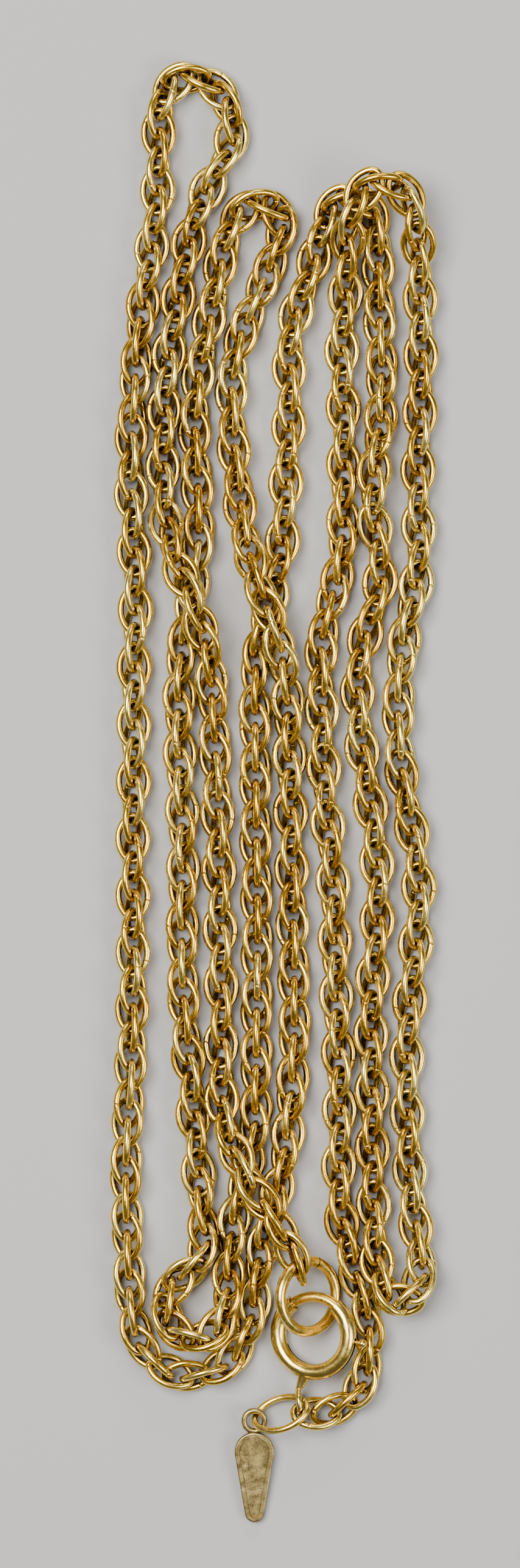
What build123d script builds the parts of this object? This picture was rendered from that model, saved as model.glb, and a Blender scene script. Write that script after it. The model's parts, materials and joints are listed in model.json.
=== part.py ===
from build123d import *
import os
from math import atan2, cos, degrees, pi, radians, sin

import numpy as np

# A long neck chain, folded into eight runs and fastened to itself.
# Millimetres. The chain lies on a table: +Z is up, +Y runs along the folded chain
# towards its top folds, +X is to the right. The table is z = 0.

# ---- driving dimensions: chain links -------------------------------------------------
WIRE = 0.62  # wire diameter of every chain link
LINK_LENGTH = 5.1  # outside length of a link
LINK_WIDTH = 3.55  # outside width of a link
END_RADIUS = 1.0  # centreline radius of a link's two ends
PITCH = 1.88  # from one link to the next along the chain
TWIST = 60.0  # degrees that each link is turned from the one before
LINKS_PER_NODE = 12
END_LINKS = 3  # links in the short node at either end of the chain
CLEARANCE = 0.05  # least gap between two links
FIRST_TURN = 90.0  # degrees: the first link stands on edge in the jump ring

# ---- driving dimensions: clasp and jump ring ----------------------------------------
CLASP_RADIUS = 3.7  # centreline radius of the spring ring
TUBE = 0.8  # outside radius of its tube
TUBE_BORE = 0.6
BOLT = 0.52  # radius of the curved bolt in the tube
GAP_FROM, GAP_TO = 50.0, 125.0  # degrees: mouth of the clasp, closed by the bolt
BOLT_TAIL, BOLT_TIP = -30.0, 127.0  # degrees: the bolt's two ends with the clasp shut
SPRING_END = -148.0  # degrees: where the spring rests on its stop
LEVER_AT = -8.0  # degrees: where the thumb lever stands with the clasp shut
JUMP_RADIUS = 3.45
JUMP_WIRE = 1.1
JUMP_GAP = 73.0, 2.2  # degrees: where the ring is cut, and how wide
SEAM = 0.26  # width of the open seam on the tube's inner side
SEAM_FROM, SEAM_TO = 200.0, 350.0
LEVER_TRAVEL = 55.0  # degrees that the bolt can be drawn back
LEVER = 0.4  # diameter of the thumb lever's stem
KNOB, KNOB_REACH = 0.45, 1.5  # radius of its knob, and how far out from the bolt it sits
LEVER_SLOT = 0.5
EYELET_RADIUS = 1.15  # centreline radius of the clasp's tail eyelet
EYELET_WIRE = 0.6
NECK, NECK_TIP = 0.75, 0.29  # radii of the neck at the tube's middle and at the eyelet

# ---- driving dimensions: hang tag ---------------------------------------------------
TAG_EYE_RADIUS = 1.02
TAG_EYE_WIRE = 0.56
TAG_RING_SCALE = 1.24  # the tag's ring against a chain link
TAG_THICKNESS = 0.8
TAG_LENGTH = 10.1  # from the middle of its eye to its tip
TAG_SHOULDER, TAG_POINT = 1.95, 0.95  # radii of the drop's upper and lower ends
TAG_RIM, TAG_RECESS = 0.45, 0.22

TABLE = LINK_WIDTH / 2  # height of the chain's axis where it lies on the table
# the whole object's middle in plan and its underside, which become the origin
MIDDLE = (0.35, -0.57, -0.014)


def tilted(origin, degrees_up, heading=0.0):
    """A plane whose own +X points along heading in plan and rises by degrees_up."""
    t, h = radians(degrees_up), radians(heading)
    along = (cos(t) * cos(h), cos(t) * sin(h), sin(t))
    normal = (-sin(t) * cos(h), -sin(t) * sin(h), cos(t))
    return Plane(origin=origin, x_dir=along, z_dir=normal)


CLASP_PLANE = tilted((4.2, -53.9, 2.35), 22)
JUMP_PLANE = tilted((3.7, -50.1, 3.0), -38)
EYELET_PLANE = Plane(origin=(2.8, -60.6, 2.0), x_dir=(0, 1, 0), z_dir=(1, 0.1, 0))
TAG_EYE_HEIGHT = 1.45
TAG_SLOPE = (TAG_EYE_HEIGHT - TAG_THICKNESS / 2 - 0.04) / TAG_LENGTH
TAG_PLANE = Plane(
    origin=(-1.6, -62.5, TAG_EYE_HEIGHT),
    x_dir=(1, 0, 0),
    z_dir=(0, -TAG_SLOPE, 1),
)
# the ring that joins the tag to the clasp's tail leans, so that it threads both eyes
TAG_RING_PLANE = Plane(
    origin=(1.0, -61.9, 2.05),
    x_dir=(0.942, 0.266, 0.205),
    z_dir=(-0.33, 0.618, 0.714),
)

# The chain's route, from the jump ring to the clasp's tail. x, y, height of its axis.
ROUTE = [
    # from the jump ring up to the left, over the runs beside it
    (3.2, -48.7, 3.3), (2.1, -45.0, 3.9), (0.6, -42.6, 4.9), (-1.2, -40.2, 5.4),
    (-2.9, -37.8, 4.9), (-4.4, -34.4, 3.0), (-5.0, -30.0, TABLE),
    # third run, crossing over to the second
    (-4.8, -25.0, TABLE), (-4.9, -18.0, TABLE), (-5.0, -12.0, TABLE), (-5.1, -6.0, TABLE),
    (-5.3, 0.0, TABLE), (-5.6, 6.0, TABLE), (-5.9, 11.0, 2.6), (-6.7, 15.5, 4.4),
    (-8.0, 19.0, 4.9), (-9.6, 22.6, 4.0), (-10.4, 27.0, 2.2), (-10.6, 32.0, TABLE),
    (-10.4, 38.0, TABLE), (-9.9, 43.5, TABLE), (-9.0, 48.5, TABLE), (-8.2, 53.0, TABLE),
    # first fold at the top
    (-7.2, 57.0, TABLE), (-5.2, 60.8, TABLE), (-3.4, 63.4, 1.9), (-3.6, 66.4, 1.9),
    (-5.6, 69.2, TABLE), (-8.3, 70.6, TABLE), (-10.3, 69.4, TABLE), (-11.0, 66.0, TABLE),
    # first run, down the left side
    (-11.0, 61.0, TABLE), (-11.3, 56.0, TABLE), (-12.2, 50.0, TABLE), (-13.0, 44.0, TABLE),
    (-13.5, 38.0, TABLE), (-13.8, 32.0, TABLE), (-13.6, 26.0, TABLE), (-13.3, 20.0, TABLE),
    (-13.4, 14.0, TABLE), (-13.5, 8.0, TABLE), (-13.5, 0.0, TABLE), (-13.6, -6.0, TABLE),
    (-13.5, -12.0, TABLE), (-13.6, -20.0, TABLE), (-13.7, -27.0, TABLE), (-14.1, -33.0, TABLE),
    (-14.3, -39.0, TABLE), (-14.1, -44.0, TABLE), (-13.9, -49.0, TABLE),
    # round the bottom left and up the middle
    (-13.7, -53.0, TABLE), (-12.4, -56.2, TABLE), (-9.6, -58.2, TABLE), (-6.4, -58.2, TABLE),
    (-3.6, -56.6, TABLE), (-2.0, -53.6, TABLE), (-1.5, -50.0, TABLE), (-1.1, -46.0, TABLE),
    (0.1, -42.0, TABLE), (1.3, -38.0, TABLE),
    # fifth run, crossing over to the fourth
    (1.7, -34.0, TABLE), (2.2, -29.0, TABLE), (2.4, -24.0, TABLE), (2.2, -16.0, TABLE),
    (2.1, -8.0, TABLE), (1.9, 0.0, TABLE), (1.8, 6.0, TABLE), (1.5, 11.0, 2.6),
    (0.5, 15.5, 4.6), (-1.0, 19.0, 4.9), (-2.2, 22.6, 3.8), (-2.9, 27.0, 2.0),
    (-3.5, 32.0, TABLE), (-3.9, 38.0, TABLE), (-3.4, 43.5, TABLE), (-1.5, 47.6, TABLE),
    # second fold at the top
    (-0.2, 51.0, TABLE), (1.2, 54.2, TABLE), (1.5, 56.6, TABLE), (-0.4, 58.0, TABLE),
    (-2.9, 57.2, TABLE), (-4.4, 54.2, TABLE), (-5.2, 50.0, TABLE),
    # third run's upper half, passing under to the second
    (-6.2, 45.0, TABLE), (-7.3, 40.0, TABLE), (-7.6, 35.0, TABLE), (-7.2, 30.0, TABLE),
    (-7.0, 26.0, TABLE), (-7.2, 22.0, TABLE), (-7.9, 18.0, TABLE), (-8.8, 13.5, TABLE),
    (-9.0, 9.0, TABLE), (-9.0, 4.0, TABLE), (-8.8, -1.0, TABLE), (-8.6, -6.0, TABLE),
    (-8.7, -12.0, TABLE), (-8.7, -18.0, TABLE), (-8.4, -24.0, TABLE), (-7.7, -30.0, TABLE),
    (-7.3, -35.0, TABLE), (-7.0, -40.0, TABLE), (-6.4, -43.8, 2.2), (-6.4, -46.8, 2.8),
    # the small loop inside the bottom left sweep
    (-8.6, -48.0, 2.6), (-10.6, -49.6, 2.2), (-10.6, -52.4, 2.6), (-8.8, -54.4, 3.6),
    (-6.2, -54.6, 4.2), (-4.5, -52.8, 4.2), (-4.2, -50.0, 3.2), (-4.1, -46.6, 2.2),
    (-3.8, -43.0, TABLE), (-2.9, -39.4, TABLE), (-1.7, -35.6, TABLE),
    # fourth run, passing under to the fifth
    (-1.4, -31.0, TABLE), (-1.4, -24.0, TABLE), (-1.3, -16.0, TABLE), (-1.4, -8.0, TABLE),
    (-1.5, 0.0, TABLE), (-1.5, 6.0, TABLE), (-1.5, 11.0, TABLE), (-0.9, 15.5, TABLE),
    (0.4, 19.5, TABLE), (1.2, 24.0, TABLE), (1.5, 29.0, TABLE), (1.7, 34.0, TABLE),
    (2.0, 39.0, TABLE), (1.7, 43.5, TABLE), (2.7, 47.5, TABLE), (4.2, 51.0, TABLE),
    # third fold, under the fourth
    (5.0, 54.6, TABLE), (6.0, 57.6, 2.0), (8.2, 58.6, 2.0), (10.2, 57.0, 2.0),
    (10.6, 53.0, TABLE),
    # seventh run, down to the bottom right
    (10.6, 48.0, TABLE), (10.9, 43.0, TABLE), (11.0, 38.0, TABLE), (10.6, 33.6, 2.4),
    (9.8, 29.4, 3.4), (10.2, 25.4, 2.4), (11.2, 21.6, TABLE), (10.6, 18.0, TABLE),
    (9.0, 14.6, TABLE), (8.5, 10.0, TABLE), (8.8, 5.0, TABLE), (9.6, 0.0, TABLE),
    (10.4, -6.0, TABLE), (10.6, -13.0, TABLE), (10.0, -19.0, TABLE), (9.8, -25.0, TABLE),
    (9.9, -31.0, TABLE), (10.0, -37.0, TABLE), (10.1, -42.0, TABLE),
    # the tight fold at the bottom right
    (10.3, -46.4, 2.4), (11.0, -49.8, 3.6), (12.9, -51.4, 4.2), (14.7, -49.6, 3.6),
    (14.7, -45.9, 2.4),
    # eighth run, up the right side
    (14.1, -42.0, TABLE), (13.7, -38.0, TABLE), (13.5, -33.0, TABLE), (13.4, -27.0, TABLE),
    (13.8, -20.0, TABLE), (14.5, -14.0, TABLE), (14.7, -9.0, TABLE), (13.9, -4.0, TABLE),
    (12.9, 1.0, TABLE), (12.5, 7.0, TABLE), (12.9, 13.0, TABLE), (13.7, 17.6, TABLE),
    (14.7, 22.0, TABLE), (14.5, 27.0, TABLE), (14.6, 33.0, TABLE), (14.8, 40.0, TABLE),
    (14.8, 47.0, TABLE),
    # fourth fold, over the third
    (14.6, 52.0, 3.0), (14.3, 56.0, 5.4), (12.6, 59.2, 6.0), (9.8, 59.6, 6.0),
    (8.0, 57.0, 5.6), (7.5, 53.0, 3.6),
    # sixth run, down to the clasp
    (7.4, 48.0, TABLE), (6.9, 43.0, TABLE), (7.2, 38.0, TABLE), (7.2, 33.0, TABLE),
    (7.2, 29.0, TABLE), (7.1, 24.0, TABLE), (6.8, 20.4, TABLE), (5.4, 17.0, TABLE),
    (4.9, 12.0, TABLE), (5.0, 6.0, TABLE), (5.2, 0.0, TABLE), (5.9, -6.0, TABLE),
    (6.3, -13.0, TABLE), (6.4, -20.0, TABLE), (6.7, -26.0, TABLE), (6.9, -32.0, TABLE),
    (6.7, -38.0, TABLE), (6.8, -42.6, TABLE), (7.9, -46.6, TABLE), (9.2, -50.4, TABLE),
    (9.8, -54.4, TABLE), (9.6, -58.0, TABLE), (8.2, -60.8, TABLE), (5.8, -62.0, 1.9),
    (2.4, -61.5, 2.1),
]

# ---- the oval link ------------------------------------------------------------------
HALF_LONG = (LINK_LENGTH - WIRE) / 2  # of the centreline
HALF_WIDE = (LINK_WIDTH - WIRE) / 2
END_CENTRE = HALF_LONG - END_RADIUS
SIDE_RADIUS = (END_CENTRE**2 + HALF_WIDE**2 - END_RADIUS**2) / (2 * (HALF_WIDE - END_RADIUS))
SIDE_CENTRE = SIDE_RADIUS - HALF_WIDE
END_TURN = atan2(SIDE_CENTRE, END_CENTRE)  # half the angle of an end arc


def oval_points(count):
    """Evenly spaced points on a link's centreline, its long axis along X."""
    end_arc, side_arc = 2 * END_RADIUS * END_TURN, SIDE_RADIUS * (pi - 2 * END_TURN)
    points = []
    for step in range(count):
        half, s = divmod((step + 0.5) * 2 * (end_arc + side_arc) / count, end_arc + side_arc)
        if s < end_arc:
            angle = s / END_RADIUS - END_TURN
            x, y = END_CENTRE + END_RADIUS * cos(angle), END_RADIUS * sin(angle)
        else:
            angle = END_TURN + (s - end_arc) / SIDE_RADIUS
            x, y = SIDE_RADIUS * cos(angle), SIDE_RADIUS * sin(angle) - SIDE_CENTRE
        points.append((x, y, 0) if half == 0 else (-x, -y, 0))
    return np.array(points)


def ring_points(radius, count):
    """Evenly spaced points on a round ring's centreline."""
    angles = np.arange(count) * 2 * pi / count
    return np.stack([radius * np.cos(angles), radius * np.sin(angles), 0 * angles], axis=1)


# ---- where each link lies -----------------------------------------------------------
POINTS = 32  # on each centreline


class Rings:
    """Stiff rings of wire: centres, frames, centrelines, wire radii, and which are fixed."""

    def __init__(self, centres, frames, outlines, wires, fixed):
        self.centres, self.frames, self.outlines = centres, frames, outlines
        self.wires, self.fixed = wires, fixed
        self.reach = np.linalg.norm(outlines, axis=2).max(axis=1) + wires
        self.spread = (outlines**2).sum(axis=2).mean(axis=1) * 0.55

    def placed(self):
        return self.centres[:, None] + np.einsum("nxy,nmy->nmx", self.frames, self.outlines)


def frame_of(plane):
    return np.stack([tuple(plane.x_dir), tuple(plane.y_dir), tuple(plane.z_dir)], axis=1)


def along_route(distances):
    """Points of the smooth route at the distances that are wanted, given its length."""
    with BuildLine() as line:
        Spline(*ROUTE)
    curve = line.edges()[0]
    steps = np.linspace(0, 1, 30 * len(ROUTE))
    points = np.array([tuple(curve.position_at(float(t), PositionMode.PARAMETER)) for t in steps])
    run = np.concatenate([[0], np.cumsum(np.linalg.norm(np.diff(points, axis=0), axis=1))])
    wanted = distances(run[-1])
    return np.stack([np.interp(wanted, run, points[:, k]) for k in range(3)], axis=1)


def threaded_links():
    """The links as they are threaded on: each reaches through the two before and after it."""
    def both_ends(whole):
        spare = whole - 2 * HALF_LONG
        starts = np.linspace(0, spare, round(spare / PITCH) + 1)
        return np.add.outer(starts, (0, 2 * HALF_LONG)).ravel()

    ends = along_route(both_ends)
    back, front = ends[0::2], ends[1::2]
    count = np.arange(len(back))
    # the chain is a little more and a little less twisted along its length
    drift = 24 * np.sin(count / 9) + 45 * (np.sin(count / 31 + 1) - sin(1))
    turn = np.radians(FIRST_TURN + TWIST * count + drift)
    long_axis = (front - back) / np.linalg.norm(front - back, axis=1, keepdims=True)
    level = np.cross([0, 0, 1], long_axis)
    level /= np.linalg.norm(level, axis=1, keepdims=True)
    upright = np.cross(long_axis, level)
    wide = np.cos(turn)[:, None] * level + np.sin(turn)[:, None] * upright
    return (back + front) / 2, np.stack([long_axis, wide, np.cross(long_axis, wide)], axis=2)


def all_rings():
    """Every ring of wire: the chain links, the tag's ring, then four that don't move."""
    centres, frames = threaded_links()
    oval = oval_points(POINTS)
    others = [
        (TAG_RING_PLANE, oval * TAG_RING_SCALE, WIRE / 2),
        (CLASP_PLANE, ring_points(CLASP_RADIUS, POINTS), TUBE),
        (JUMP_PLANE, ring_points(JUMP_RADIUS, POINTS), JUMP_WIRE / 2),
        (EYELET_PLANE, ring_points(EYELET_RADIUS, POINTS), EYELET_WIRE / 2),
        (TAG_PLANE, ring_points(TAG_EYE_RADIUS, POINTS), TAG_EYE_WIRE / 2),
    ]
    links = len(centres)
    return Rings(
        np.concatenate([centres, [tuple(plane.origin) for plane, _, _ in others]]),
        np.concatenate([frames, [frame_of(plane) for plane, _, _ in others]]),
        np.array([oval] * links + [outline for _, outline, _ in others]),
        np.array([WIRE / 2] * links + [wire for _, _, wire in others]),
        np.arange(links + len(others)) > links,
    )


def neighbours(rings, margin=0.4):
    """Pairs of rings that are near enough to touch."""
    y = rings.centres[:, 1]
    order = np.argsort(y, kind="stable")
    last = np.searchsorted(y[order], y[order] + 2 * rings.reach.max() + margin)
    one = np.repeat(np.arange(len(y)), last - np.arange(len(y)) - 1)
    other = np.concatenate([np.arange(k + 1, stop) for k, stop in enumerate(last)])
    i, j = order[one], order[other]
    apart = np.linalg.norm(rings.centres[i] - rings.centres[j], axis=1)
    near = apart < rings.reach[i] + rings.reach[j] + margin
    near &= ~(rings.fixed[i] & rings.fixed[j])
    return np.minimum(i, j)[near], np.maximum(i, j)[near]


def closest_on(p, along_p, q, along_q):
    """The closest points of two straight segments."""
    between = p - q
    a, e = (along_p**2).sum(-1), (along_q**2).sum(-1)
    b, c, f = (along_p * along_q).sum(-1), (along_p * between).sum(-1), (along_q * between).sum(-1)
    cross = np.maximum(a * e - b * b, 1e-9)
    s = np.clip((b * f - c * e) / cross, 0, 1)
    t = np.clip((b * s + f) / e, 0, 1)
    s = np.clip((b * t - c) / a, 0, 1)
    return p + s[:, None] * along_p, q + t[:, None] * along_q


def touching(rings, i, j, clearance):
    """Places where two rings are closer than their wires and the clearance allow."""
    points = rings.placed()
    steps = np.roll(points, -1, axis=1) - points
    middle = points + steps / 2
    longest = np.linalg.norm(steps, axis=2).max(axis=1)
    a, b = middle[i], middle[j]
    origin = a.mean(axis=1, keepdims=True)
    a, b = (a - origin).astype(np.float32), (b - origin).astype(np.float32)
    square = (a**2).sum(-1)[:, :, None] + (b**2).sum(-1)[:, None] - 2 * np.einsum("kax,kbx->kab", a, b)
    room = rings.wires[i] + rings.wires[j] + clearance
    limit = (room + (longest[i] + longest[j]) / 2) ** 2
    k, first, second = np.argwhere(square < limit[:, None, None]).T
    i, j, room = i[k], j[k], room[k]
    p, q = closest_on(points[i, first], steps[i, first], points[j, second], steps[j, second])
    gap = np.linalg.norm(p - q, axis=1)
    hit = gap < room
    return i[hit], j[hit], p[hit], q[hit], gap[hit], (room - gap)[hit]


def turned(frames, spins):
    """Frames turned by small rotation vectors."""
    angle = np.linalg.norm(spins, axis=1)
    x, y, z = (spins / np.maximum(angle, 1e-12)[:, None]).T
    zero = 0 * x
    skew = np.stack([zero, -z, y, z, zero, -x, -y, x, zero], axis=1).reshape(-1, 3, 3)
    bend = np.sin(angle)[:, None, None] * skew + (1 - np.cos(angle))[:, None, None] * (skew @ skew)
    return (np.eye(3) + bend) @ frames


def settle(rings, rounds, fall, clearance=CLEARANCE, ease=1.8):
    """Lets the links drop by fall each round and pushes them apart until none overlap."""
    count = len(rings.centres)
    for each in range(rounds):
        if each % 10 == 0:
            i, j = neighbours(rings)
        rings.centres[~rings.fixed, 2] -= fall
        a, b, p, q, gap, depth = touching(rings, i, j, clearance)
        away = (p - q) / np.maximum(gap, 1e-9)[:, None]
        points = rings.placed()
        sunk = rings.wires[:, None] - points[:, :, 2]
        ring, place = np.argwhere(sunk > 0).T
        arms = [
            (a, away, np.cross(p - rings.centres[a], away), depth),
            (b, -away, np.cross(q - rings.centres[b], -away), depth),
        ]
        give = [
            np.where(rings.fixed[who], 0, 1 + (arm**2).sum(1) / rings.spread[who])
            for who, _, arm, _ in arms
        ]
        share = depth / np.maximum(give[0] + give[1], 1e-9)
        up = np.tile([0.0, 0.0, 1.0], (len(ring), 1))
        lever = np.cross(points[ring, place] - rings.centres[ring], up)
        lift = sunk[ring, place]
        arms.append((ring, up, lever, lift))
        shares = [share, share, lift / (1 + (lever**2).sum(1) / rings.spread[ring])]
        moves, spins, weights = np.zeros((count, 3)), np.zeros((count, 3)), np.zeros(count)
        for (who, way, arm, how_deep), part_of in zip(arms, shares):
            weight = part_of * how_deep
            weights += np.bincount(who, how_deep, count)
            for k in range(3):
                moves[:, k] += np.bincount(who, way[:, k] * weight, count)
                spins[:, k] += np.bincount(who, arm[:, k] / rings.spread[who] * weight, count)
        scale = np.where(rings.fixed | (weights < 1e-9), 0, ease / np.maximum(weights, 1e-9))
        rings.centres += moves * scale[:, None]
        rings.frames = turned(rings.frames, spins * scale[:, None])
    return rings


def lay_chain():
    rings = all_rings()
    settle(rings, rounds=30, fall=0)
    settle(rings, rounds=50, fall=0.006)
    settle(rings, rounds=120, fall=0)
    return rings


# ---- solids -------------------------------------------------------------------------
def make_link(scale=1.0):
    """One oval link of round wire: four tangent arcs."""
    turn = degrees(END_TURN)
    with BuildPart() as link:
        with BuildLine() as centreline:
            for way, side in ((1, 0), (-1, 180)):
                centre = (way * END_CENTRE * scale, 0)
                CenterArc(centre, END_RADIUS * scale, side - turn, 2 * turn)
                centre = (0, -way * SIDE_CENTRE * scale)
                CenterArc(centre, SIDE_RADIUS * scale, side + turn, 180 - 2 * turn)
        with BuildSketch(Plane.XZ):
            with Locations((HALF_LONG * scale, 0)):
                Circle(WIRE / 2)
        sweep(path=centreline.wires()[0])
    return link.part


def ring_arc(radius, start, stop):
    """An arc about the origin, and the plane across it at its start, with +X outwards."""
    with BuildLine() as path:
        arc = CenterArc((0, 0), radius, start, stop - start)
    outwards = (cos(radians(start)), sin(radians(start)), 0)
    return path.wires()[0], Plane(origin=arc @ 0, x_dir=outwards, z_dir=arc % 0)


def make_rod(ring_radius, rod_radius, start, stop, bore=0):
    """A curved rod or tube along part of a ring."""
    with BuildPart() as rod:
        arc, across = ring_arc(ring_radius, start, stop)
        with BuildSketch(across):
            Circle(rod_radius)
            if bore:
                Circle(bore, mode=Mode.SUBTRACT)
        sweep(path=arc)
    return rod.part


def make_clasp_tube():
    """The spring ring's rolled tube, with its seam inside and the lever's slot outside."""
    wall = TUBE - TUBE_BORE + 0.2
    middle = (TUBE + TUBE_BORE) / 2
    with BuildPart() as tube:
        add(make_rod(CLASP_RADIUS, TUBE, GAP_TO, GAP_FROM + 360, TUBE_BORE))
        seam, across = ring_arc(CLASP_RADIUS, SEAM_FROM, SEAM_TO)
        with BuildSketch(across):
            with Locations((-middle, 0)):
                Rectangle(wall, SEAM)
        sweep(path=seam, mode=Mode.SUBTRACT)
        spare = 5.0
        slot, across = ring_arc(CLASP_RADIUS, LEVER_AT - LEVER_TRAVEL - spare, LEVER_AT + spare)
        with BuildSketch(across):
            with Locations((middle, 0)):
                Rectangle(wall, LEVER_SLOT)
        sweep(path=slot, mode=Mode.SUBTRACT)
    return tube.part


def make_thumb_lever():
    """A short stem on the bolt with a round thumb knob."""
    outwards = (cos(radians(LEVER_AT)), sin(radians(LEVER_AT)), 0)
    foot = Plane(origin=tuple(CLASP_RADIUS * x for x in outwards), z_dir=outwards)
    with BuildPart() as lever:
        with BuildSketch(foot):
            Circle(LEVER / 2)
        extrude(amount=KNOB_REACH)
        with Locations(foot.offset(KNOB_REACH)):
            Sphere(KNOB)
        add(make_rod(CLASP_RADIUS, BOLT, BOLT_TAIL, BOLT_TIP), mode=Mode.SUBTRACT)
    return lever.part


def make_clasp_tail():
    """The neck and eyelet soldered to the tube, in the object's own frame."""
    eyelet = EYELET_PLANE.origin
    local = CLASP_PLANE.to_local_coords(eyelet)
    outwards = Vector(local.X, local.Y, 0).normalized()
    root = CLASP_PLANE.from_local_coords(outwards * CLASP_RADIUS)
    towards = EYELET_PLANE.to_local_coords(root)
    rim = Vector(towards.X, towards.Y, 0).normalized() * EYELET_RADIUS
    top = EYELET_PLANE.from_local_coords(rim)
    neck = Plane(origin=root, z_dir=top - root)
    with BuildPart() as tail:
        with BuildSketch(neck):
            Circle(NECK)
        with BuildSketch(neck.offset((top - root).length)):
            Circle(NECK_TIP)
        loft()
        add(make_rod(EYELET_RADIUS, EYELET_WIRE / 2, 0, 360).moved(EYELET_PLANE.location))
        add(
            make_rod(CLASP_RADIUS, TUBE, 0, 360).moved(CLASP_PLANE.location),
            mode=Mode.SUBTRACT,
        )
    return tail.part


def make_hang_tag():
    """A plain drop, point down, with a raised rim, hanging from a round eye."""
    shoulder = -TAG_EYE_RADIUS - TAG_SHOULDER - 0.1
    point = -TAG_LENGTH + TAG_POINT
    with BuildPart() as tag:
        with BuildSketch(Plane.XY.offset(-TAG_THICKNESS / 2)) as drop:
            with Locations((0, shoulder)):
                Circle(TAG_SHOULDER)
            with Locations((0, point)):
                Circle(TAG_POINT)
            make_hull()
        extrude(amount=TAG_THICKNESS)
        rims = tag.edges().filter_by(Plane.XY)
        fillet(rims, 0.15)
        with BuildSketch(Plane.XY.offset(TAG_THICKNESS / 2 - TAG_RECESS)):
            offset(drop.sketch.moved(Location((0, 0, TAG_THICKNESS / 2))), -TAG_RIM)
        extrude(amount=TAG_THICKNESS, mode=Mode.SUBTRACT)
        add(make_rod(TAG_EYE_RADIUS, TAG_EYE_WIRE / 2, 0, 360))
    return tag.part


def at(piece, plane):
    return piece.moved(plane.location)


def save(piece, name):
    """Writes a piece, moved so that the object's middle is at the origin."""
    home = piece.moved(Location(tuple(-x for x in MIDDLE)))
    home.label = name
    export_step(home, f"parts/{name}.step")


def save_chain(rings):
    """The chain's links in order, a dozen to a node, with short nodes at its two ends."""
    link = make_link()
    count = len(rings.centres) - 5
    planes = [
        Plane(origin=tuple(centre), x_dir=tuple(frame[:, 0]), z_dir=tuple(frame[:, 2]))
        for centre, frame in zip(rings.centres, rings.frames)
    ]
    starts = list(range(END_LINKS, count - END_LINKS, LINKS_PER_NODE))
    stops = starts[1:] + [count - END_LINKS]
    nodes = {f"chain_links_{k:02}": range(a, b) for k, (a, b) in enumerate(zip(starts, stops), 1)}
    nodes["jump_ring_end_links"] = range(END_LINKS)
    nodes["clasp_end_links"] = range(count - END_LINKS, count)
    for name, members in nodes.items():
        save(Compound([at(link, planes[k]) for k in members]), name)
    save(at(make_link(TAG_RING_SCALE), planes[count]), "tag_ring")
    print(count, "links,", len(nodes), "nodes")


def save_fittings():
    cut, wide = JUMP_GAP
    jump = make_rod(JUMP_RADIUS, JUMP_WIRE / 2, cut + wide / 2, cut - wide / 2 + 360)
    save(at(jump, JUMP_PLANE), "jump_ring")
    spring_radius, spring_bore, stop_length = TUBE_BORE - 0.08, TUBE_BORE - 0.24, 8.0
    in_clasp = {
        "clasp_tube": make_clasp_tube(),
        "clasp_bolt": make_rod(CLASP_RADIUS, BOLT, BOLT_TAIL, BOLT_TIP),
        "clasp_thumb_lever": make_thumb_lever(),
        "clasp_spring": make_rod(
            CLASP_RADIUS, spring_radius, SPRING_END + 1, BOLT_TAIL - 1, spring_bore
        ),
        "clasp_spring_stop": make_rod(
            CLASP_RADIUS, TUBE_BORE - 0.02, SPRING_END - stop_length, SPRING_END
        ),
    }
    for name, piece in in_clasp.items():
        save(at(piece, CLASP_PLANE), name)
    save(make_clasp_tail(), "clasp_tail_eyelet")
    save(at(make_hang_tag(), TAG_PLANE), "hang_tag")


def main():
    os.makedirs("parts", exist_ok=True)
    rings = lay_chain()
    save_chain(rings)
    save_fittings()
    return rings


if __name__ == "__main__":
    main()
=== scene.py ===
"""A folded loose-rope neck chain with its spring ring clasp, jump ring and tag, in metres."""
import json
import math
import random

import bpy
import numpy as np
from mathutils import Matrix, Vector


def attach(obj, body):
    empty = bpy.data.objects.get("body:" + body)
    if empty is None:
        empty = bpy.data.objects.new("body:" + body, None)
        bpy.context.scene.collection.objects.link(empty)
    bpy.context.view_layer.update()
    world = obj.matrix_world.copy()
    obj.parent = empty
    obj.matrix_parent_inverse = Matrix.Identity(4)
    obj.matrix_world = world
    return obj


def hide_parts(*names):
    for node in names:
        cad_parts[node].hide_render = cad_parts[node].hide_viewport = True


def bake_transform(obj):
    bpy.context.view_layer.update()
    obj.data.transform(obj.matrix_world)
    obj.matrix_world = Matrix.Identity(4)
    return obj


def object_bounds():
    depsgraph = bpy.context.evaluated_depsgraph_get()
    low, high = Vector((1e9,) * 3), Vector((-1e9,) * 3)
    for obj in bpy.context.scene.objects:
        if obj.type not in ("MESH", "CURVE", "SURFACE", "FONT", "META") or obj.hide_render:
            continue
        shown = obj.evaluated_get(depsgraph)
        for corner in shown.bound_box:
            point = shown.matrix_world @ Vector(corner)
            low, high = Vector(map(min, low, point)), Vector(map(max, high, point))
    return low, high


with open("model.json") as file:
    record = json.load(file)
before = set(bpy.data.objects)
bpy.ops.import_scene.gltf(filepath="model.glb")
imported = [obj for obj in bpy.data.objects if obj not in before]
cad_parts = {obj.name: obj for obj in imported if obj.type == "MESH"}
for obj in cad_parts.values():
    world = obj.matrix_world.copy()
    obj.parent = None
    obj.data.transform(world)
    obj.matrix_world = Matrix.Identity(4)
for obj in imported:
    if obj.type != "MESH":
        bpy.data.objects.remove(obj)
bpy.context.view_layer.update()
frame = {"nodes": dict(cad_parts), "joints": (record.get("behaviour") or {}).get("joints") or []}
nodes = frame["nodes"]

UP = Vector((0, 0, 1))
LENGTHWAYS = Vector((0, 1, 0))

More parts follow.
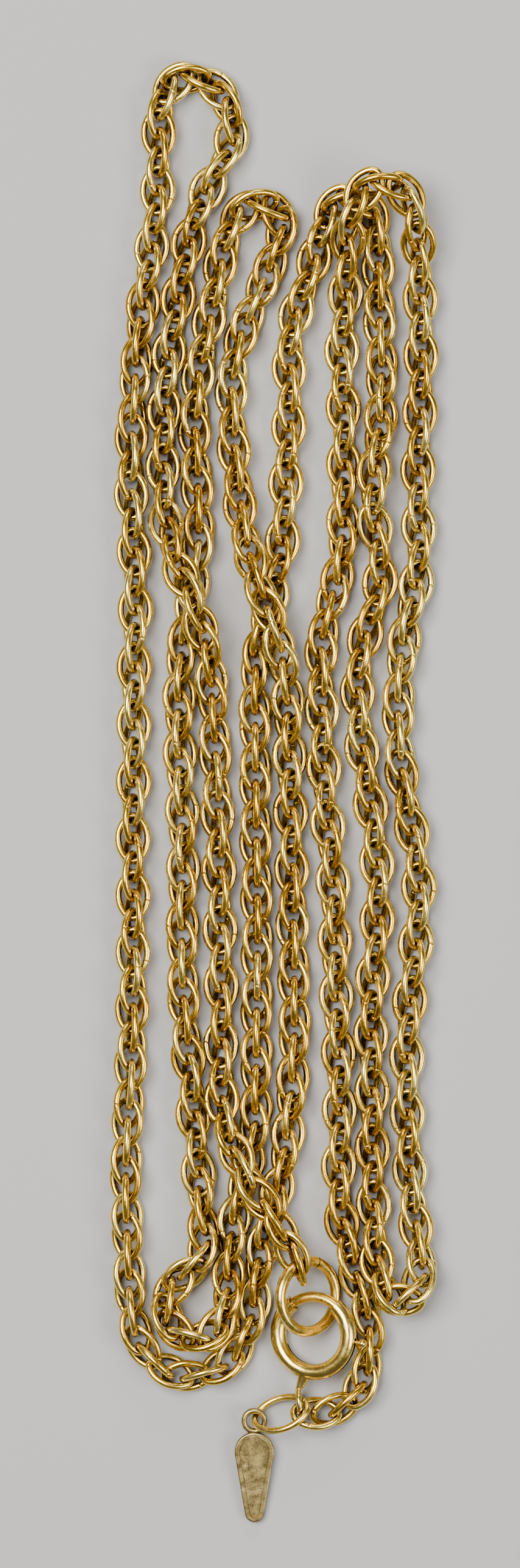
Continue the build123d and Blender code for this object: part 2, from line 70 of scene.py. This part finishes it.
# The chain's links: an oval of round wire, its centreline made of four arcs.
WIRE = 0.335e-3  # radius of the chain's wire
HALF_LONG, HALF_WIDE, END_RADIUS = 2.24e-3, 1.465e-3, 1.0e-3
ALONG, AROUND = 50, 14  # stations along the wire, points around it
BEVEL = 0.05e-3  # how far the wire's cut ends are rounded off
SEAM_WIDTHS = (0.03e-3, 0.05e-3, 0.02e-3)
SEAM_DEPTH = 0.78  # the wire's thickness at the bottom of its seam, as a part of the whole
LINK_SHAPES = 9  # differ in where their seam is
RING_SEAM, RING_SEAM_WIDTH, RING_SCALE = 0.62, 0.06e-3, 1.24  # the tag's ring, a larger link

# The clasp's coil spring, round inside the tube.
SPRING_RING, SPRING_COIL, SPRING_WIRE = 3.7e-3, 0.42e-3, 0.075e-3
SPRING_START, SPRING_STOP = math.radians(-147), math.radians(-31.5)
SPRING_TURNS, SPRING_STEPS_A_TURN, SPRING_SIDES = 24, 18, 7

HEIGHT = 0.6  # the camera's, over the table
SEEN = 0.1543  # how much of the table the picture's long side covers
SENSOR = 36

rng = random.Random(11)


# ---- the links ----------------------------------------------------------------------
def oval(scale=1.0):
    """A link's centreline: a function of the part run, giving place and outward direction,
    and its whole length."""
    half_long, half_wide, end = HALF_LONG * scale, HALF_WIDE * scale, END_RADIUS * scale
    reach = half_long - end
    side_centre = (reach**2 - (half_wide - end) ** 2) / (2 * (half_wide - end))
    side = side_centre + half_wide
    turn = math.atan2(side_centre, reach)
    arcs = [
        ((reach, 0), end, -turn, turn),
        ((0, -side_centre), side, turn, math.pi - turn),
        ((-reach, 0), end, math.pi - turn, math.pi + turn),
        ((0, side_centre), side, math.pi + turn, 2 * math.pi - turn),
    ]
    lengths = [radius * (b - a) for _, radius, a, b in arcs]
    total = sum(lengths)

    def at(part):
        run = (part % 1.0) * total
        for (centre, radius, a, b), length in zip(arcs, lengths):
            if run <= length:
                angle = a + (b - a) * run / length
                out = Vector((math.cos(angle), math.sin(angle), 0))
                return Vector((centre[0], centre[1], 0)) + out * radius, out
            run -= length
        return at(0.0)

    return at, total


def link_mesh(seam, width, scale=1.0):
    """Points and quads of one wire link whose two cut ends butt together at seam."""
    at, total = oval(scale)
    half = width / 2 / total
    bevel = BEVEL / total
    cut_end = [(half, 0.90), (half + bevel, 0.98), (half + 2.2 * bevel, 1.0)]
    plain = np.linspace(half + 4 * bevel, 1 - half - 4 * bevel, ALONG - 4)
    stations = cut_end + [(float(part), 1.0) for part in plain]
    stations += [(1 - part, thick) for part, thick in reversed(cut_end)]
    stations.append((1.0, SEAM_DEPTH))
    points = []
    for part, thick in stations:
        centre, out = at(seam + part)
        for k in range(AROUND):
            angle = 2 * math.pi * k / AROUND
            push = out * math.cos(angle) + UP * math.sin(angle)
            points.append(centre + push * (WIRE * thick))
    count = len(stations)
    quads = []
    for i in range(count):
        for k in range(AROUND):
            j, m = (i + 1) % count, (k + 1) % AROUND
            quads.append((i * AROUND + k, j * AROUND + k, j * AROUND + m, i * AROUND + m))
    return np.array([tuple(p) for p in points]), np.array(quads)


def islands(obj):
    """The separate solids of a CAD node, each as an array of its points."""
    mesh = obj.data
    points = np.empty(len(mesh.vertices) * 3)
    mesh.vertices.foreach_get("co", points)
    points = points.reshape(-1, 3)
    _, same = np.unique(np.round(points * 1e7).astype(np.int64), axis=0, return_inverse=True)
    same = same.ravel()
    edges = np.empty(len(mesh.edges) * 2, dtype=np.int64)
    mesh.edges.foreach_get("vertices", edges)
    edges = same[edges.reshape(-1, 2)]
    label = np.arange(same.max() + 1)
    while True:
        low = np.minimum(label[edges[:, 0]], label[edges[:, 1]])
        new = label.copy()
        np.minimum.at(new, edges[:, 0], low)
        np.minimum.at(new, edges[:, 1], low)
        new = new[new]
        if (new == label).all():
            break
        label = new
    whole = np.empty((len(label), 3))
    whole[same] = points
    return [whole[label == value] for value in np.unique(label)]


def pose_of(cloud):
    """Where a link lies: its middle, and its long, wide and thin directions as columns."""
    middle = cloud.mean(axis=0)
    _, axes = np.linalg.eigh(np.cov((cloud - middle).T))
    axes = axes[:, ::-1]
    spans = (cloud - middle) @ axes
    middle = middle + axes @ ((spans.max(axis=0) + spans.min(axis=0)) / 2)
    if np.linalg.det(axes) < 0:
        axes[:, 2] *= -1
    return middle, axes


def add_mesh(name, points, faces):
    """A smooth-shaded mesh object in the scene."""
    mesh = bpy.data.meshes.new(name)
    mesh.from_pydata([tuple(p) for p in points], [], [tuple(f) for f in faces])
    mesh.validate()
    mesh.polygons.foreach_set("use_smooth", [True] * len(mesh.polygons))
    obj = bpy.data.objects.new(name, mesh)
    bpy.context.scene.collection.objects.link(obj)
    return obj


def wire_links(name, variants):
    """Replaces a CAD node of links with links whose wire ends show where they meet."""
    points, quads, tints = [], [], []
    used = 0
    for cloud in islands(nodes[name]):
        middle, axes = pose_of(cloud)
        shape, faces = rng.choice(variants)
        points.append(shape @ axes.T + middle)
        quads.append(faces + used)
        used += len(shape)
        tints += [rng.random()] * len(shape)
    obj = add_mesh(name + "_wire", np.concatenate(points), np.concatenate(quads))
    tint = obj.data.attributes.new("tint", "FLOAT", "POINT")
    tint.data.foreach_set("value", tints)
    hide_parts(name)
    return obj


def coil_spring():
    """The clasp's spring: a coil that runs round inside the tube from its stop to the bolt."""
    hinge = next(j for j in frame["joints"] if j["name"] == "bolt_draw")
    middle, axis = Vector(hinge["pos_m"]), Vector(hinge["axis"]).normalized()
    across = LENGTHWAYS.cross(axis).normalized()
    sides, steps = SPRING_SIDES, SPRING_TURNS * SPRING_STEPS_A_TURN

    def along(part):
        angle = SPRING_START + (SPRING_STOP - SPRING_START) * part
        out = across * math.cos(angle) + LENGTHWAYS * math.sin(angle)
        swing = 2 * math.pi * SPRING_TURNS * part
        reach = SPRING_RING + SPRING_COIL * math.cos(swing)
        return middle + out * reach + axis * (SPRING_COIL * math.sin(swing))

    points, faces = [], []
    for i in range(steps + 1):
        here = along(i / steps)
        way = (along((i + 0.5) / steps) - along((i - 0.5) / steps)).normalized()
        side = way.cross(axis).normalized()
        up = side.cross(way)
        for k in range(sides):
            angle = 2 * math.pi * k / sides
            points.append(here + (side * math.cos(angle) + up * math.sin(angle)) * SPRING_WIRE)
    for i in range(steps):
        for k in range(sides):
            m = (k + 1) % sides
            faces.append((i * sides + k, i * sides + m, (i + 1) * sides + m, (i + 1) * sides + k))
    faces.append(tuple(range(sides)))
    faces.append(tuple(steps * sides + k for k in reversed(range(sides))))
    piece = add_mesh("clasp_coil_spring", points, faces)
    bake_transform(piece)
    return piece


# ---- materials ----------------------------------------------------------------------
def new_material(name):
    """A material with its node tree and its shader."""
    material = bpy.data.materials.new(name)
    material.use_nodes = True
    tree = material.node_tree
    return material, tree, tree.nodes["Principled BSDF"]


def feed(tree, value, socket):
    """Links a node's output to a socket, or sets the socket to a number or a colour."""
    if isinstance(value, bpy.types.NodeSocket):
        tree.links.new(value, socket)
    elif isinstance(value, tuple):
        socket.default_value = (*value, 1)
    else:
        socket.default_value = value


def made_node(tree, kind, **values):
    """A new node with its named inputs fed; an underscore in a name stands for a space."""
    made = tree.nodes.new(kind)
    for key, value in values.items():
        feed(tree, value, made.inputs[key.replace("_", " ")])
    return made


def ramp(tree, source, stops):
    """A colour that follows source through the stops."""
    made = made_node(tree, "ShaderNodeValToRGB", Fac=source)
    elements = made.color_ramp.elements
    while len(elements) < len(stops):
        elements.new(0.5)
    for element, (place, colour) in zip(elements, stops):
        element.position = place
        element.color = (*colour, 1)
    return made.outputs["Color"]


def mix(tree, factor, a, b, blend="MIX"):
    """Two colours mixed."""
    made = tree.nodes.new("ShaderNodeMix")
    made.data_type = "RGBA"
    made.blend_type = blend
    for value, key in ((factor, "Factor"), (a, "A"), (b, "B")):
        feed(tree, value, made.inputs[key])
    return made.outputs["Result"]


def math_node(tree, operation, a, b):
    """Two values added or multiplied."""
    made = tree.nodes.new("ShaderNodeMath")
    made.operation = operation
    for value, socket in zip((a, b), made.inputs):
        feed(tree, value, socket)
    return made.outputs["Value"]


def plated(name, deep, mid, pale, rough, tinted=False, scratch=0.06, patina=None):
    """Gold-tone plating: uneven tone, worn and smudged patches, fine drawing marks, and painted
    shade in the hollows between parts.

    deep, mid and pale are its tones, rough its least and most roughness, scratch how
    deep the marks are, and patina the colour of a film that covers it in patches.
    """
    material, tree, shader = new_material(name)
    where = tree.nodes.new("ShaderNodeTexCoord").outputs["Object"]

    def noise(size, detail=3.0, roughness=0.6):
        made = made_node(tree, "ShaderNodeTexNoise", Vector=where, Scale=1 / size,
                         Detail=detail, Roughness=roughness)
        return made.outputs["Fac"]

    tone = noise(2.2e-3)
    if tinted:  # each link has its own tone
        attribute = tree.nodes.new("ShaderNodeAttribute")
        attribute.attribute_name = "tint"
        tone = math_node(tree, "ADD", math_node(tree, "MULTIPLY", tone, 0.6),
                         math_node(tree, "MULTIPLY", attribute.outputs["Fac"], 0.45))
    colour = ramp(tree, tone, [(0.25, deep), (0.5, mid), (0.8, pale)])
    if patina:
        cover = ramp(tree, noise(1.1e-3, 5.0, 0.7), [(0.42, (0, 0, 0)), (0.62, (1, 1, 1))])
        colour = mix(tree, cover, colour, patina)

    # painted shade: the hollows between links are made darker and redder in the base colour by
    # ambient occlusion, standing in for shadow
    painted_shade_ao = made_node(tree, "ShaderNodeAmbientOcclusion", Distance=2.2e-3)
    painted_shade_ao.samples = 4
    painted_shade_colour = ramp(tree, painted_shade_ao.outputs["AO"],
                 [(0.16, (0.02, 0.012, 0.003)), (0.42, (0.38, 0.30, 0.16)), (0.66, (1, 1, 1))])
    feed(tree, mix(tree, 1.0, colour, painted_shade_colour, "MULTIPLY"), shader.inputs["Base Color"])
    shader.inputs["Metallic"].default_value = 1.0

    least, most = rough
    smudge = made_node(tree, "ShaderNodeMapRange", Value=noise(0.7e-3, 4.0),
                       From_Min=0.3, From_Max=0.75, To_Min=least, To_Max=most)
    feed(tree, smudge.outputs["Result"], shader.inputs["Roughness"])

    wave = made_node(tree, "ShaderNodeBump", Strength=0.25, Distance=0.06e-3,
                     Height=noise(1.3e-3, 2.0))
    marks = made_node(tree, "ShaderNodeBump", Strength=scratch, Distance=0.05e-3,
                      Height=noise(0.16e-3, 4.0, 0.65), Normal=wave.outputs["Normal"])
    feed(tree, marks.outputs["Normal"], shader.inputs["Normal"])
    return material


def dress(obj, material):
    obj.data.materials.clear()
    obj.data.materials.append(material)


GOLD = plated("chain_plating", (0.66, 0.38, 0.03), (0.92, 0.62, 0.08), (1.0, 0.81, 0.22),
              (0.18, 0.36), tinted=True, scratch=0.10)
RING_GOLD = plated("ring_plating", (0.74, 0.46, 0.06), (0.92, 0.65, 0.12), (1.0, 0.82, 0.28),
                   (0.18, 0.36), scratch=0.08)
CLASP_GOLD = plated("clasp_plating", (0.74, 0.50, 0.09), (0.92, 0.69, 0.17), (1.0, 0.85, 0.35),
                    (0.16, 0.34), scratch=0.08)
BOLT_GOLD = plated("bolt_plating", (0.58, 0.35, 0.05), (0.84, 0.56, 0.10), (0.95, 0.70, 0.20),
                   (0.20, 0.40), scratch=0.12)
STEEL = plated("spring_wire", (0.40, 0.38, 0.35), (0.55, 0.54, 0.52), (0.68, 0.67, 0.65),
               (0.2, 0.4))
BRASS = plated("tag_brass", (0.30, 0.22, 0.075), (0.50, 0.39, 0.15), (0.66, 0.54, 0.25),
               (0.26, 0.50), scratch=0.3, patina=(0.20, 0.145, 0.055))

# ---- pieces -------------------------------------------------------------------------
shapes = [link_mesh(k / LINK_SHAPES + 0.03, SEAM_WIDTHS[k % len(SEAM_WIDTHS)])
          for k in range(LINK_SHAPES)]
for name in sorted(nodes):
    if name.startswith("chain_links_") or name.endswith("_end_links"):
        piece = wire_links(name, shapes)
        dress(piece, GOLD)
        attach(piece, "hank")

ring = wire_links("tag_ring", [link_mesh(RING_SEAM, RING_SEAM_WIDTH, RING_SCALE)])
dress(ring, RING_GOLD)
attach(ring, "tag_ring_body")

spring = coil_spring()
dress(spring, STEEL)
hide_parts("clasp_spring")

for name, material in {
    "jump_ring": RING_GOLD, "clasp_tube": CLASP_GOLD, "clasp_bolt": BOLT_GOLD,
    "clasp_thumb_lever": BOLT_GOLD, "clasp_spring_stop": CLASP_GOLD,
    "clasp_tail_eyelet": CLASP_GOLD, "hang_tag": BRASS,
}.items():
    dress(nodes[name], material)

# ---- floor, light and camera --------------------------------------------------------
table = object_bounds()[0].z
corners = [(-3, -3, table), (3, -3, table), (3, 3, table), (-3, 3, table)]
floor = add_mesh("floor", corners, [(0, 1, 2, 3)])
paper, _, shader = new_material("pale_paper")
shader.inputs["Base Color"].default_value = (0.42, 0.42, 0.43, 1)
shader.inputs["Roughness"].default_value = 0.9
dress(floor, paper)


def area_light(name, place, size, power, colour, size_y=None):
    """A square or rectangular light that points at the middle of the part."""
    data = bpy.data.lights.new(name, "AREA")
    data.energy = power
    data.color = colour
    data.size = size
    if size_y:
        data.shape = "RECTANGLE"
        data.size_y = size_y
    obj = bpy.data.objects.new(name, data)
    obj.location = place
    obj.rotation_euler = (-Vector(place)).to_track_quat("-Z", "Y").to_euler()
    bpy.context.scene.collection.objects.link(obj)


area_light("key", (-0.20, 0.10, 0.60), 0.36, 7.4, (1.0, 0.97, 0.92))
area_light("fill", (0.42, -0.16, 0.50), 0.34, 3.0, (1.0, 0.98, 0.95))
area_light("back", (0.05, 0.55, 0.30), 0.30, 1.2, (1.0, 0.95, 0.88), 0.12)

world = bpy.data.worlds.new("studio")
bpy.context.scene.world = world
world.use_nodes = True
sky = world.node_tree.nodes["Background"]
sky.inputs["Color"].default_value = (0.50, 0.48, 0.45, 1)
sky.inputs["Strength"].default_value = 0.24

camera = bpy.data.cameras.new("camera")
camera.sensor_width = SENSOR
camera.lens = SENSOR * HEIGHT / SEEN
camera.clip_start, camera.clip_end = 0.01, 10
eye = bpy.data.objects.new("camera", camera)
bpy.context.scene.collection.objects.link(eye)
eye.location = (-0.0014, 0.0008, HEIGHT + 0.002)
bpy.context.scene.camera = eye
